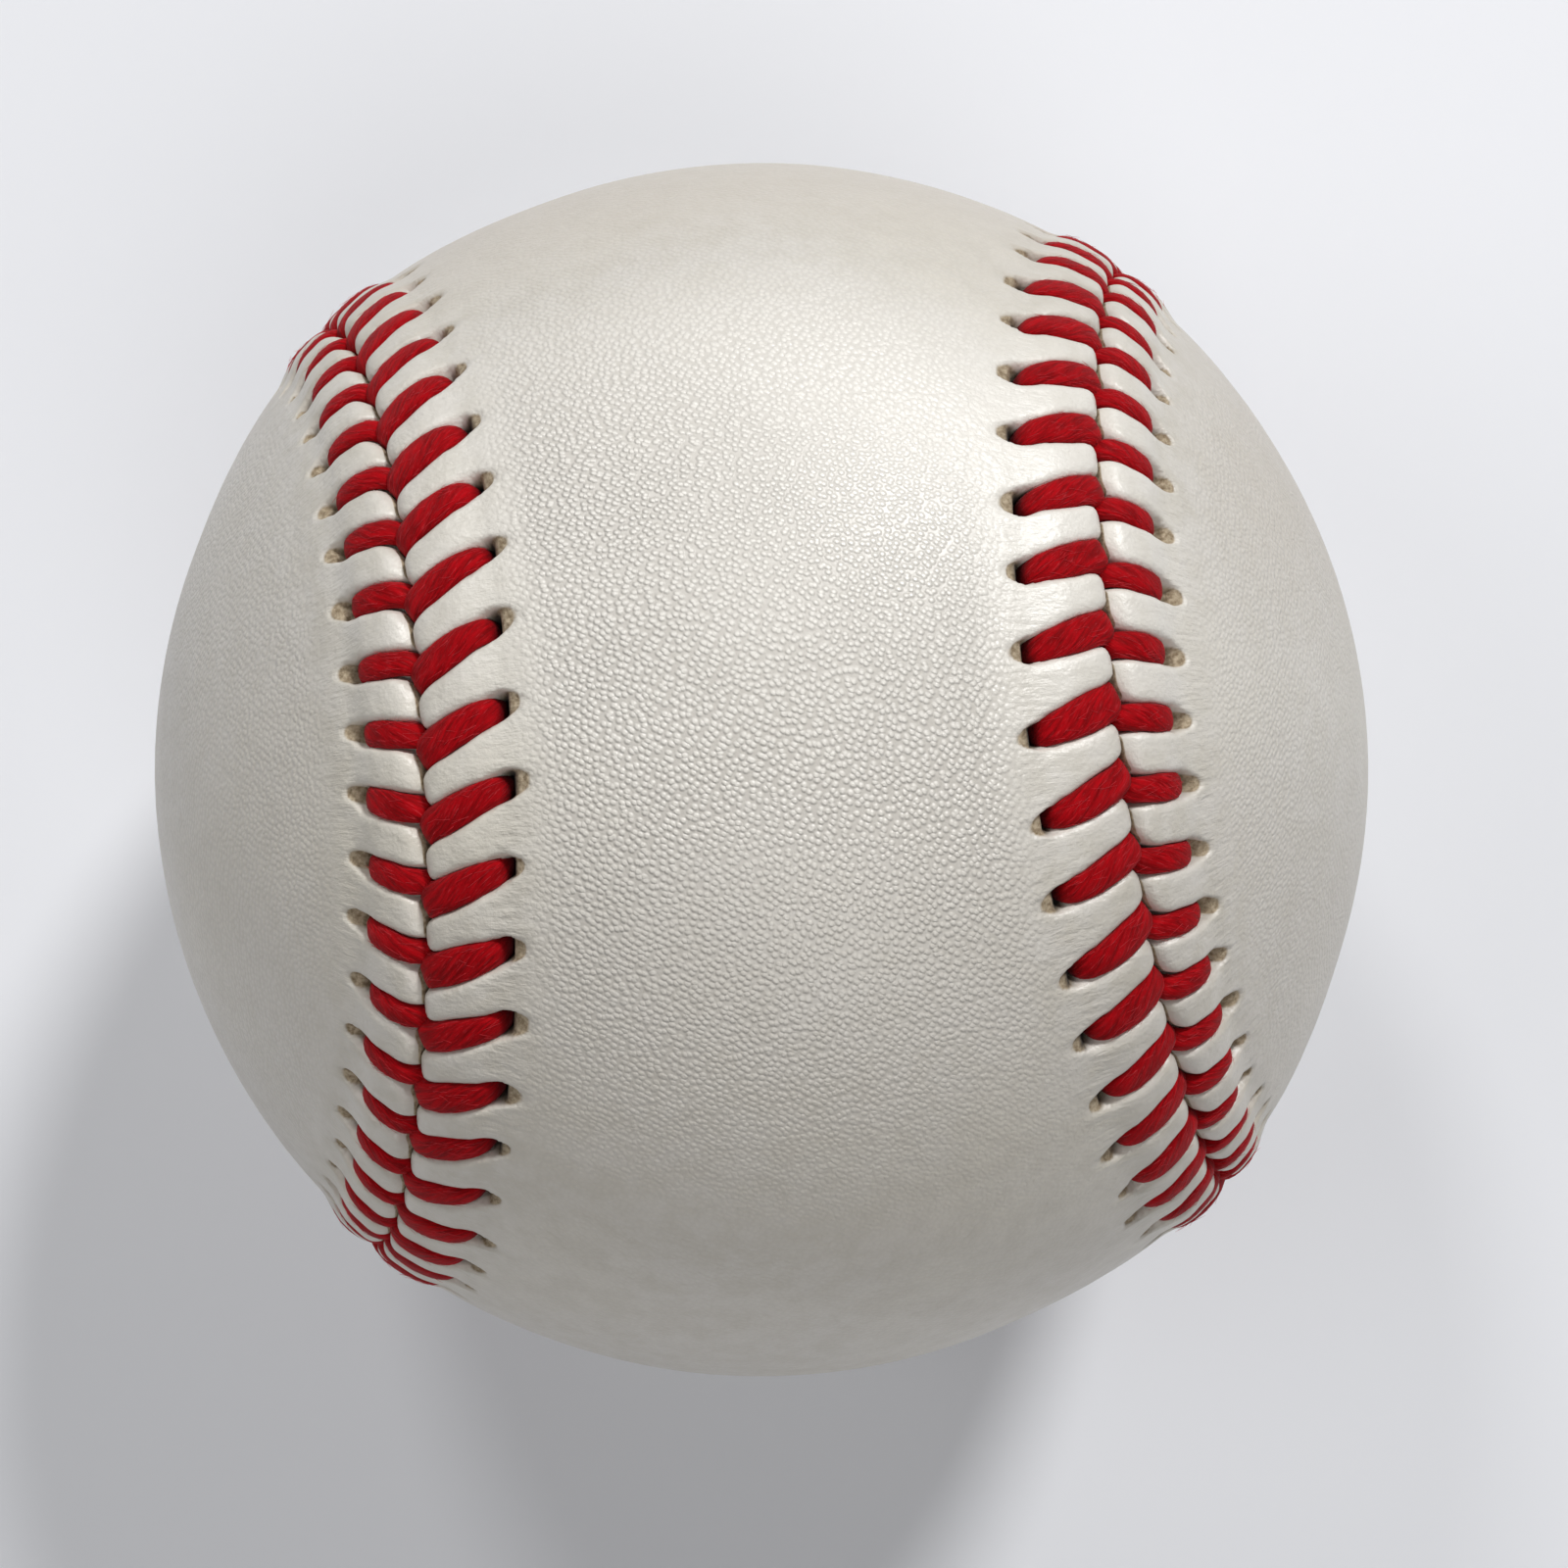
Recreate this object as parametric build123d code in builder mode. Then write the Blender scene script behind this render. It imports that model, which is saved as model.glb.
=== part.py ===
from build123d import *
import os
from math import acos, atan2, cos, degrees, pi, sin, sqrt, tan

# A hand-sewn baseball. The origin is the centre of the ball, +Z goes out through the middle of the
# front panel's waist, and the two halves of the front panel fold down along +Y and -Y.
# All lengths are in millimetres.

# Core and the rubber moulded round it
core_diameter = 20.6
shell_thickness = 4.0
washer_thickness = 0.8
red_layer_thickness = 2.4

# Yarn windings, from the inside out
inner_winding_thickness = 14.5
middle_winding_thickness = 1.7
outer_winding_thickness = 2.2
finishing_winding_thickness = 0.45

# Leather cover: two equal panels that meet edge to edge
leather_thickness = 1.25
waist_width = 36.4  # over the leather, from seam to seam where a panel is narrowest
seam_gap = 0.2
welt_width = 3.6  # from the seam to the foot of the raised edge
welt_height = 0.55
lip_height = 0.1  # of the raised edge above the plain leather where it turns into the seam

# Stitching: two threads, with a needle hole in each panel for every stitch
stitch_count = 108
hole_offset = 4.6  # from the seam to the middle of a needle hole
hole_diameter = 1.75
thread_width = 1.35
thread_height = 0.8
front_lead = 1.45  # how far along the seam a leg of the front panel runs from its hole to the seam
back_lead = 0.55
tail_depth = 0.1  # of a leg's end below the plain leather, in its hole
thread_clearance = 0.12

layer_gap = 0.05  # between neighbouring layers
overrun = 2.0  # of every cut past what it cuts

# Radii, worked out from the core to the cover
core_radius = core_diameter / 2
shell_inner = core_radius + layer_gap
shell_outer = shell_inner + shell_thickness
red_inner = shell_outer + layer_gap
red_outer = red_inner + red_layer_thickness
inner_winding_inner = red_outer + layer_gap
inner_winding_outer = inner_winding_inner + inner_winding_thickness
middle_winding_inner = inner_winding_outer + layer_gap
middle_winding_outer = middle_winding_inner + middle_winding_thickness
outer_winding_inner = middle_winding_outer + layer_gap
outer_winding_outer = outer_winding_inner + outer_winding_thickness
finishing_inner = outer_winding_outer + layer_gap
finishing_outer = finishing_inner + finishing_winding_thickness
cover_inner = finishing_outer + layer_gap
ball_radius = cover_inner + leather_thickness

# The seam is four equal circular arcs on the ball, each tangent to the next where they cross the
# equator. Two arcs rise over the upper half, on the +X and -X sides, and two dip under the lower half,
# on the +Y and -Y sides. arc_polar is the angle from an arc's axis to the arc, and arc_tilt the angle
# from the equator to the axis.
waist_angle = waist_width / 2 / ball_radius
tip_latitude = pi / 2 - waist_angle
arc_polar = atan2(sqrt(2) - cos(tip_latitude), sin(tip_latitude))
arc_tilt = tip_latitude - arc_polar
arc_half_turn = acos(-tan(arc_tilt) / tan(arc_polar))
arc_count = 4
upper, lower = 1, -1
front, back = 1, -1
cut_reach = ball_radius + welt_height + overrun

# Stitches, spaced evenly along the seam
stitches_per_arc = stitch_count // arc_count
stitch_turn = 2 * arc_half_turn / stitches_per_arc
seam_radius = ball_radius * sin(arc_polar)
first_stitch_turns = 1 - stitches_per_arc / 2


def arc_half(index):
    """Which half of the ball an arc of the seam is on."""
    return upper if index % 2 == 0 else lower


def arc_side(index):
    """The direction along the equator that an arc lies on."""
    return Vector(1, 0, 0).rotate(Axis.Z, index * 360 / arc_count)


def arc_plane(index):
    """An arc's own plane: Z along its axis and X towards the tip of the lobe that it goes round."""
    half = arc_half(index)
    side = arc_side(index)
    axis = side * cos(arc_tilt) + Vector(0, 0, half * sin(arc_tilt))
    tip = side * -sin(arc_tilt) + Vector(0, 0, half * cos(arc_tilt))
    return Plane(origin=(0, 0, 0), x_dir=tip, z_dir=axis)


def polar_angle(half, across):
    """Angle from an arc's axis to a line that runs beside the seam, on the front panel's side if positive."""
    return arc_polar + half * across / ball_radius


def seam_point(half, along, across, height):
    """A point in an arc's plane, from its distances along and across the seam and above the leather."""
    polar = polar_angle(half, across)
    turn = -half * along / seam_radius
    reach = ball_radius + height
    ring = reach * sin(polar)
    return Vector(ring * cos(turn), ring * sin(turn), reach * cos(polar))


def section_point(half, across, height):
    """The same point in a section through the arc's axis: distance from the axis, then along it."""
    polar = polar_angle(half, across)
    reach = ball_radius + height
    return (reach * sin(polar), reach * cos(polar))


def section_plane(index):
    """The plane through an arc's axis at the end of the arc, where its sections are drawn."""
    plane = arc_plane(index)
    outward = plane.x_dir.rotate(Axis((0, 0, 0), plane.z_dir), -degrees(arc_half_turn))
    return Plane(origin=(0, 0, 0), x_dir=outward, z_dir=outward.cross(plane.z_dir))


def turned(index, turns):
    """An arc's place, turned about its axis by a number of stitches along the seam."""
    turn = degrees(-arc_half(index) * turns * stitch_turn)
    return arc_plane(index).location * Location((0, 0, 0), (0, 0, turn))


def layer(inner_radius, outer_radius):
    """A closed spherical layer."""
    with BuildPart() as shell:
        Sphere(outer_radius)
        Sphere(inner_radius, mode=Mode.SUBTRACT)
    return shell


def half_layer(inner_radius, outer_radius, half, rim):
    """The upper or lower part of a spherical layer, which stops short of the equator by its rim."""
    whole = layer(inner_radius, outer_radius).part
    with BuildPart() as cup:
        add(whole)
        split(
            bisect_by=Plane.XY.offset(half * rim),
            keep=Keep.TOP if half == upper else Keep.BOTTOM,
        )
    return cup


def seam_cone(polar):
    """A cone with its point at the ball's centre, reaching out past the cover."""
    ends = (Align.CENTER, Align.CENTER, Align.MIN)
    with BuildPart() as cone:
        Cone(0, cut_reach * tan(polar), cut_reach, align=ends)
    return cone.part


def panel_section(index, side):
    """Half a section across a panel, from its raised edge at the seam to the middle of the panel."""
    half = arc_half(index)
    edge = seam_gap / 2
    middle = ball_radius * (pi / 2 if half == side else arc_polar)
    inside = -leather_thickness

    def point(across, height):
        return section_point(half, side * across, height)

    with BuildSketch(section_plane(index)) as section:
        with BuildLine():
            ThreePointArc(point(edge, lip_height), point(welt_width / 2, welt_height), point(welt_width, 0))
            ThreePointArc(point(welt_width, 0), point((welt_width + middle) / 2, 0), point(middle, 0))
            Line(point(middle, 0), point(middle, inside))
            ThreePointArc(point(middle, inside), point((edge + middle) / 2, inside), point(edge, inside))
            Line(point(edge, inside), point(edge, lip_height))
        make_face()
    return section.sketch


def needle_hole_places(index, side):
    """Where the needle goes through a panel along one arc of the seam, square to the leather."""
    hole = seam_point(arc_half(index), -front_lead, side * hole_offset, 0)
    through = Plane(origin=hole, z_dir=hole).location
    turns = [first_stitch_turns + stitch for stitch in range(stitches_per_arc)]
    return [turned(index, turn) * through for turn in turns]


def panel_quarter(index, side):
    """What an arc of the seam bounds of a panel: half of its waist, or one of its lobes."""
    is_waist = arc_half(index) == side
    section = panel_section(index, side)
    places = needle_hole_places(index, side)
    arc_axis = Axis((0, 0, 0), arc_plane(index).z_dir)
    with BuildPart() as quarter:
        revolve(section, arc_axis, degrees(2 * arc_half_turn))
        if is_waist:
            split(bisect_by=Plane(origin=(0, 0, 0), z_dir=arc_side(index)))
        with Locations(*places):
            Cylinder(hole_diameter / 2, 2 * (leather_thickness + overrun), mode=Mode.SUBTRACT)
    return quarter.part


def leather_panel(side):
    """One panel of the cover, sewn from its four quarters without the flat faces where they meet."""
    skin = []
    for index in range(arc_count // 2):
        quarter = panel_quarter(index, side)
        for turn in (0, 180):
            skin += quarter.rotate(Axis.Z, turn).faces().filter_by(GeomType.PLANE, reverse=True)
    with BuildPart() as panel:
        add(Solid(Shell(skin)))
    return panel


def stitch_leg(half, side):
    """One leg of thread, from its needle hole over the panel's raised edge and down into the seam."""
    lead = front_lead if side == front else back_lead
    ride = welt_height + thread_clearance + thread_height / 2
    hole = seam_point(half, -front_lead, side * hole_offset, -tail_depth)
    crest = seam_point(half, lead / 2 - front_lead, side * hole_offset / 2, ride)
    dive = seam_point(half, lead - front_lead, -side * thread_width / 2, lip_height + thread_clearance)
    seam_wall = seam_cone(polar_angle(half, side * seam_gap / 2))
    is_inside_wall = half * side < 0
    with BuildPart() as leg:
        with BuildLine():
            arc = ThreePointArc(hole, crest, dive)
        with BuildSketch(Plane(origin=arc @ 0, x_dir=arc.normal(), z_dir=arc % 0)):
            Ellipse(thread_width / 2, thread_height / 2)
        revolve(
            axis=Axis(arc.arc_center, arc.normal()),
            revolution_arc=degrees(arc.length / arc.radius),
        )
        add(seam_wall, mode=Mode.INTERSECT if is_inside_wall else Mode.SUBTRACT)
    return leg.part


def thread_places(half, side, start):
    """Where one thread has its legs on one panel: it comes up through the two panels by turns."""
    places = []
    for index in range(arc_count):
        for stitch in range(stitches_per_arc):
            number = index * stitches_per_arc + stitch + start
            turn_side = front if number % 2 == 0 else back
            if arc_half(index) == half and turn_side == side:
                places.append(turned(index, first_stitch_turns + stitch))
    return places


def thread(start):
    """All the legs of one thread."""
    kinds = [(half, side) for half in (upper, lower) for side in (front, back)]
    legs = [(stitch_leg(*kind), thread_places(*kind, start)) for kind in kinds]
    with BuildPart() as stitches:
        for leg, places in legs:
            with Locations(*places):
                add(leg)
    return stitches


with BuildPart() as cork_core:
    Sphere(core_radius)

# Two flat washers seal the joint between the black rubber cups
with BuildPart() as joint_washers:
    for half in (upper, lower):
        with BuildSketch(Plane.XY.offset(half * layer_gap / 2)):
            Circle(shell_outer)
            Circle(shell_inner, mode=Mode.SUBTRACT)
        extrude(amount=half * washer_thickness)

cup_rim = washer_thickness + 3 * layer_gap / 2
pieces = {
    "cork_core": cork_core,
    "upper_rubber_cup": half_layer(shell_inner, shell_outer, upper, cup_rim),
    "lower_rubber_cup": half_layer(shell_inner, shell_outer, lower, cup_rim),
    "joint_washers": joint_washers,
    "red_rubber_layer": layer(red_inner, red_outer),
    "inner_grey_winding": layer(inner_winding_inner, inner_winding_outer),
    "middle_white_winding": layer(middle_winding_inner, middle_winding_outer),
    "outer_grey_winding": layer(outer_winding_inner, outer_winding_outer),
    "finishing_winding": layer(finishing_inner, finishing_outer),
    "front_leather_panel": leather_panel(front),
    "back_leather_panel": leather_panel(back),
    "first_thread": thread(0),
    "second_thread": thread(1),
}

os.makedirs("parts", exist_ok=True)
for name, piece in pieces.items():
    piece.part.label = name
    export_step(piece.part, f"parts/{name}.step")
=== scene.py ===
from math import acos, atan2, cos, pi, radians, sin, sqrt, tan

import bpy
import numpy as np
from mathutils import Matrix, Vector, noise
from mathutils.geometry import delaunay_2d_cdt


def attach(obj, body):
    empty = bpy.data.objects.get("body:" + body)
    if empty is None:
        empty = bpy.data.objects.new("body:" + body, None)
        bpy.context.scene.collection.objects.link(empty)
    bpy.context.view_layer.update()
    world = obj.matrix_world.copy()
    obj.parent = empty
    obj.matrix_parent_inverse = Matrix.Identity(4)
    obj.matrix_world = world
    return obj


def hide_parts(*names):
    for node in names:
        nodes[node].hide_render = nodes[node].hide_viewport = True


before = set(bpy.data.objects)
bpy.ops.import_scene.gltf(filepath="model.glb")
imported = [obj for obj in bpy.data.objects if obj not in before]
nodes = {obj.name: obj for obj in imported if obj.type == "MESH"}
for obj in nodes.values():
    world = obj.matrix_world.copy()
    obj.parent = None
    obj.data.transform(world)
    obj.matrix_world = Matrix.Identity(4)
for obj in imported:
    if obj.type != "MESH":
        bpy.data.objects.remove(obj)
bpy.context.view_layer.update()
scene = bpy.context.scene

# A hand-sewn baseball. Lengths are in millimetres until a mesh is made.
MM = 0.001
SEED = 108

# Seam: four equal arcs on the ball, as in the part
BALL_RADIUS = 37.15
LEATHER = 1.25
WAIST_WIDTH = 36.4
STITCHES = 108
ARCS = 4
FRONT, BACK = 1, -1

tip_latitude = pi / 2 - WAIST_WIDTH / 2 / BALL_RADIUS
polar = atan2(sqrt(2) - cos(tip_latitude), sin(tip_latitude))
tilt = tip_latitude - polar
half_turn = acos(-tan(tilt) / tan(polar))
seam_radius = BALL_RADIUS * sin(polar)
ARC_LENGTH = 2 * half_turn * seam_radius
SEAM_LENGTH = ARC_LENGTH * ARCS
PITCH = SEAM_LENGTH / STITCHES

# The sewn seam strays a little from the four arcs: so much at the middle of an arc, and towards its ends
DRIFT_MIDDLE = 0.2783
DRIFT_ENDS = -2.4833

# Legs of thread: how far along the seam from its stitch the middle of a leg lies, at distances across
# the seam, and half of its width, at other distances across
LEG_ACROSS = {FRONT: (0.0, 4.5, 5.7), BACK: (0.0, 3.75, 4.3, 5.4)}
LEG_ALONG = {FRONT: (0.0, -1.45, -1.58), BACK: (-0.88, -1.30, -1.46, -1.56)}
WIDTH_ACROSS = {FRONT: (0.0, 1.8, 2.9, 3.7, 4.4), BACK: (0.0, 1.7, 2.8, 3.6)}
HALF_WIDTH = {FRONT: (0.86, 0.91, 0.83, 0.71, 0.58), BACK: (0.62, 0.74, 0.70, 0.62)}
MOST_REACH = 1.2  # largest share of a needle hole's stray, past the hole

# Strays of single stitches: lengths, and shares of a size
HOLE_ALONG_STRAY = 0.10
HOLE_ACROSS_STRAY = 0.09
SIZE_STRAY = 0.08
LEG_WIDTH_STRAY = 0.05
LEG_RISE_STRAY = 0.035
MOST_STRAY = 2  # in standard deviations
# Needle holes get painted shadow past their leg, by an amount drawn between these bounds
HOLE_SHADE = {FRONT: (0.25, 0.95), BACK: (0.05, 0.50)}  # how far past its leg a hole is dark

rng = np.random.default_rng(SEED)


def wobble(amount):
    """One random number for each stitch."""
    return amount * np.clip(rng.normal(0, 1, STITCHES), -MOST_STRAY, MOST_STRAY)


hole_along = {side: wobble(HOLE_ALONG_STRAY) for side in (FRONT, BACK)}
hole_across = {side: wobble(HOLE_ACROSS_STRAY) for side in (FRONT, BACK)}
hole_size = {side: 1 + wobble(SIZE_STRAY) for side in (FRONT, BACK)}
puff_size = {side: 1 + wobble(SIZE_STRAY) for side in (FRONT, BACK)}
leg_width = {side: 1 + wobble(LEG_WIDTH_STRAY) for side in (FRONT, BACK)}
leg_rise = {side: wobble(LEG_RISE_STRAY) for side in (FRONT, BACK)}
leg_phase = {side: rng.uniform(0, 2 * pi, STITCHES) for side in (FRONT, BACK)}
hole_shade = {side: rng.uniform(*HOLE_SHADE[side], STITCHES) for side in (FRONT, BACK)}


def smooth(low, high, value):
    """0 below low, 1 above high, and a smooth step between them, which may run down."""
    t = np.clip((value - low) / (high - low), 0, 1)
    return t * t * (3 - 2 * t)


def unit_of(points):
    """Directions of points from the centre."""
    return points / np.linalg.norm(points, axis=1)[:, None]


# Along one arc the needle holes lie a little further on at its start, and a little back over its later
# part. The bounds are in stitches from the start of that arc.
LEANING_ARC = 2
LEAN_ON = 0.20
LEAN_BACK = {FRONT: 0.42, BACK: 0.25}
from_start = np.arange(STITCHES) - LEANING_ARC * STITCHES // ARCS
sooner = smooth(-1, 3, from_start) * smooth(11, 5, from_start)
later = smooth(9, 17, from_start) * smooth(28, 23, from_start)
hole_along[FRONT] += LEAN_ON * sooner - LEAN_BACK[FRONT] * later
hole_along[BACK] -= LEAN_BACK[BACK] * later


def arc_frame(index):
    """Which half an arc is on, its axis, and two directions square to it, the first to the arc's tip."""
    half = 1 if index % 2 == 0 else -1
    angle = index * 2 * pi / ARCS
    side = np.array([cos(angle), sin(angle), 0.0])
    up = np.array([0.0, 0.0, 1.0])
    axis = side * cos(tilt) + half * sin(tilt) * up
    tip = -side * sin(tilt) + half * cos(tilt) * up
    return half, axis, tip, np.cross(axis, tip)


ARC_FRAMES = [arc_frame(index) for index in range(ARCS)]


def drift_at(half, from_middle):
    """How far the seam strays from an arc, at a distance along it from its middle."""
    square = (2 * from_middle / ARC_LENGTH) ** 2
    return half * (1 - square) * (DRIFT_MIDDLE + DRIFT_ENDS * square)


def place(along, across, height):
    """Points from their distances along and across the seam, and above the plain leather."""
    along, across, height = np.broadcast_arrays(along, across, height)
    along = np.mod(along, SEAM_LENGTH)
    arc = np.minimum((along // ARC_LENGTH).astype(int), ARCS - 1)
    points = np.zeros(along.shape + (3,))
    for index, (half, axis, tip, third) in enumerate(ARC_FRAMES):
        here = arc == index
        from_middle = along[here] - (index + 0.5) * ARC_LENGTH
        theta = (polar + half * (across[here] + drift_at(half, from_middle)) / BALL_RADIUS)[:, None]
        phi = (-half * from_middle / seam_radius)[:, None]
        ring = np.cos(phi) * tip + np.sin(phi) * third
        reach = (BALL_RADIUS + height[here])[:, None]
        points[here] = reach * (np.cos(theta) * axis + np.sin(theta) * ring)
    return points


def seam_distance(points):
    """Where points on the ball are along the seam, and how far off it, positive on the front panel."""
    unit = unit_of(points)
    best = np.full(len(points), np.inf)
    along = np.zeros(len(points))
    for index, (half, axis, tip, third) in enumerate(ARC_FRAMES):
        theta = np.arccos(np.clip(unit @ axis, -1, 1))
        phi = np.arctan2(unit @ third, unit @ tip)
        from_middle = -half * phi * seam_radius
        off = half * (theta - polar) * BALL_RADIUS - drift_at(half, from_middle)
        nearer = (np.abs(phi) <= half_turn) & (np.abs(off) < np.abs(best))
        best = np.where(nearer, off, best)
        along = np.where(nearer, (index + 0.5) * ARC_LENGTH + from_middle, along)
    return along, best


# The cover rises slowly towards the seam, more at the start of the front panel's arcs than at their ends
RISE = 0.34
RISE_SWING = 0.20
RISE_FOOT = 16.0
RISE_TOP = 2.0


def base_rise(along, across):
    """Height of the cover's slow rise at a distance across the seam."""
    amount = RISE + RISE_SWING * np.cos(pi * along / ARC_LENGTH)
    return amount * smooth(RISE_FOOT, RISE_TOP, across)


def leg_line(side, across):
    """How far along the seam from its stitch a leg is, at a distance across the seam."""
    return np.interp(across, LEG_ACROSS[side], LEG_ALONG[side])


def half_width(side, across):
    """Half of a leg's width along the seam."""
    return np.interp(across, WIDTH_ACROSS[side], HALF_WIDTH[side])


def hole_reach(side, across):
    """Share of the needle hole's own stray that a point across the seam takes."""
    return np.clip(across / LEG_ACROSS[side][1], 0, MOST_REACH)


# Groove: an edge gives way to the leg that comes over from the other panel. Start, peak and end are
# along the seam from the stitch, and then comes the amount.
GROOVE_HALF = 0.05
GIVE = {BACK: (-1.25, -0.40, 0.85, 0.46), FRONT: (-1.75, -0.85, -0.15, 0.40)}
GROOVE_SWING = 0.05
SWING_START = 0.35  # in stitches
# Distances across the seam over which both die away in the leather
GIVE_REACH = 0.8
SWING_REACH = 1.6


def seam_opening(side, along):
    """How far a panel's edge stands back from the middle of the groove."""
    start, peak, end, amount = GIVE[side]
    local = np.mod(along - peak + PITCH / 2, PITCH) + peak - PITCH / 2
    given = np.where(local < peak, smooth(start, peak, local), smooth(end, peak, local))
    return GROOVE_HALF + amount * given


def seam_shift(along):
    """Sideways wander of the groove between stitches."""
    return GROOVE_SWING * np.sin(2 * pi * (along / PITCH - SWING_START))


# The strip of each panel beside the seam: columns that follow the legs, and rows across the seam
STRIP_WIDTH = 7.3
steps = np.array([0.14, 0.28, 0.40, 0.50, 0.60, 0.70, 0.79, 0.88, 0.98, 1.10, 1.28, 1.52])
column_steps = np.concatenate([-steps[::-1], [0], steps, [PITCH / 2]])
column_stitch = np.repeat(np.arange(STITCHES), len(column_steps))
column_off = np.tile(column_steps, STITCHES)
EDGE_ROUND = 1.6
rows = np.concatenate(
    [
        EDGE_ROUND * (1 - np.cos(np.linspace(0, pi / 2, 11))),
        np.linspace(EDGE_ROUND, 3.2, 5)[1:],
        np.linspace(3.2, 5.7, 14)[1:],
        [6.15, 6.7, STRIP_WIDTH],
    ]
)

# Height of the strip, and the needle holes in it
SIDE_ROUND = 0.66
EDGE_FALL = 0.72
PUFF_RISE = 0.48
PUFF_FOOT = {FRONT: 5.1, BACK: 4.5}
PUFF_TOP = {FRONT: 2.5, BACK: 2.1}
GROOVE_FLOOR = -0.55
GROOVE_RUN = (0.1, 1.3)  # across the seam, from the groove's floor up to the leather
UNDER_LEG = 0.93  # share of a leg's width that presses the leather down
PRESS = 0.10
DIP = 0.45  # more press towards the needle hole
DIP_FROM = 1.05  # before the leg's end
DIP_TO = 0.40
FREE_FROM = 0.15  # before the leg's end, past which nothing presses
FREE_TO = 0.55  # after it
SLOT_MIDDLE = {FRONT: 4.83, BACK: 4.18}
SLOT_HALF = {FRONT: 1.01, BACK: 0.80}
SLOT_WIDE = {FRONT: 0.67, BACK: 0.66}
SLOT_SQUARE = 2.6
SLOT_TAPER = 0.20
SLOT_SHALLOW = 0.24
SLOT_FALL = 0.80
SHADE_FADE = 0.45
# Shares of a hole's size: where it narrows, where its rim falls in, and where its floor falls to the leg
TAPER_RUN = (-0.5, 0.9)
RIM_RUN = (1.10, 0.70)
FLOOR_RUN = (0.45, -0.35)
LEG_END = {FRONT: 4.45, BACK: 3.75}


def column_along(side, across):
    """Where the columns are along the seam, at rows across it."""
    neighbour = np.where(column_off < 0, column_stitch - 1, column_stitch + 1) % STITCHES
    blend = smooth(0, 1, np.abs(column_off) / PITCH)
    stray = hole_along[side][column_stitch] * (1 - blend) + hole_along[side][neighbour] * blend
    start = column_stitch * PITCH + column_off
    return start[:, None] + leg_line(side, across)[None] + stray[:, None] * hole_reach(side, across)[None]


def leather_height(side, along, across):
    """Height of the cover's edge: it swells between the legs and is pressed down under them."""
    off = np.abs(column_off)[:, None]
    wide = half_width(side, across)[None] * leg_width[side][column_stitch][:, None]
    from_leg = np.clip((off - UNDER_LEG * wide) / SIDE_ROUND, 0, 1)
    from_edge = np.clip(across / EDGE_ROUND, 0, 1)[None]
    swell = np.sqrt(np.clip(1 - (1 - from_leg) ** 3 - EDGE_FALL * (1 - from_edge) ** 3, 0, 1))
    free = smooth(LEG_END[side] - FREE_FROM, LEG_END[side] + FREE_TO, across)[None]
    swell = swell + (1 - swell) * free
    between = np.where(column_off < 0, column_stitch - 1, column_stitch) % STITCHES
    base = base_rise(along, across[None])
    puff = PUFF_RISE * smooth(PUFF_FOOT[side], PUFF_TOP[side], across)
    top = base + puff[None] * puff_size[side][between][:, None]
    dip = DIP * smooth(LEG_END[side] - DIP_FROM, LEG_END[side] - DIP_TO, across)
    dip = PRESS * smooth(0.0, 1.0, across) + dip
    pressed = base - dip[None]
    floor = GROOVE_FLOOR + (pressed - GROOVE_FLOOR) * smooth(*GROOVE_RUN, across)[None]
    floor = np.where(from_leg > 0, np.minimum(floor, pressed), floor)
    return floor + (top - floor) * swell


def slot_depth(side, across):
    """How open the needle holes are, how deep, and how far they are in the shade of the leg."""
    size = hole_size[side][column_stitch][:, None]
    stray = hole_across[side][column_stitch][:, None]
    out = (across[None] - SLOT_MIDDLE[side] - stray) / SLOT_HALF[side] / size
    taper = 1 - SLOT_TAPER * smooth(*TAPER_RUN, out)
    beside = column_off[:, None] / SLOT_WIDE[side] / size / taper
    edge = (np.abs(out) ** SLOT_SQUARE + np.abs(beside) ** SLOT_SQUARE) ** (1 / SLOT_SQUARE)
    open_share = smooth(*RIM_RUN, edge)
    fall = smooth(*FLOOR_RUN, out)
    past_leg = across[None] - LEG_END[side] - stray
    reach = hole_shade[side][column_stitch][:, None]
    shade = smooth(reach, reach - SHADE_FADE, past_leg)
    return open_share, SLOT_SHALLOW + SLOT_FALL * fall, shade


# Distances from the seam between which the grain of the hide comes up
GRAIN_RUN = (4.8, 8.2)
# Heights of the cut edge below the plain leather, how much painted shade it has, and how far the raw
# leather comes up
EDGE_HEIGHTS = (-LEATHER, -0.85)
EDGE_SHADE = 0.60
EDGE_RAW = 0.06
# How open a needle hole is where its painted shadow starts, and where it is darkest
SHADOW_RUN = (0.40, 0.90)
# Creases: distances from the seam at which they start, deepen and end
CREASE_START = (0.5, 1.5)
CREASE_DEEPEN = (3.0, 4.8)
CREASE_END = (7.1, 5.0)
CREASE_SHALLOW = 0.4
# They fade out where the count along the seam starts again, between so many stitches from there
CREASE_GAP = (2, 4)


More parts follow.
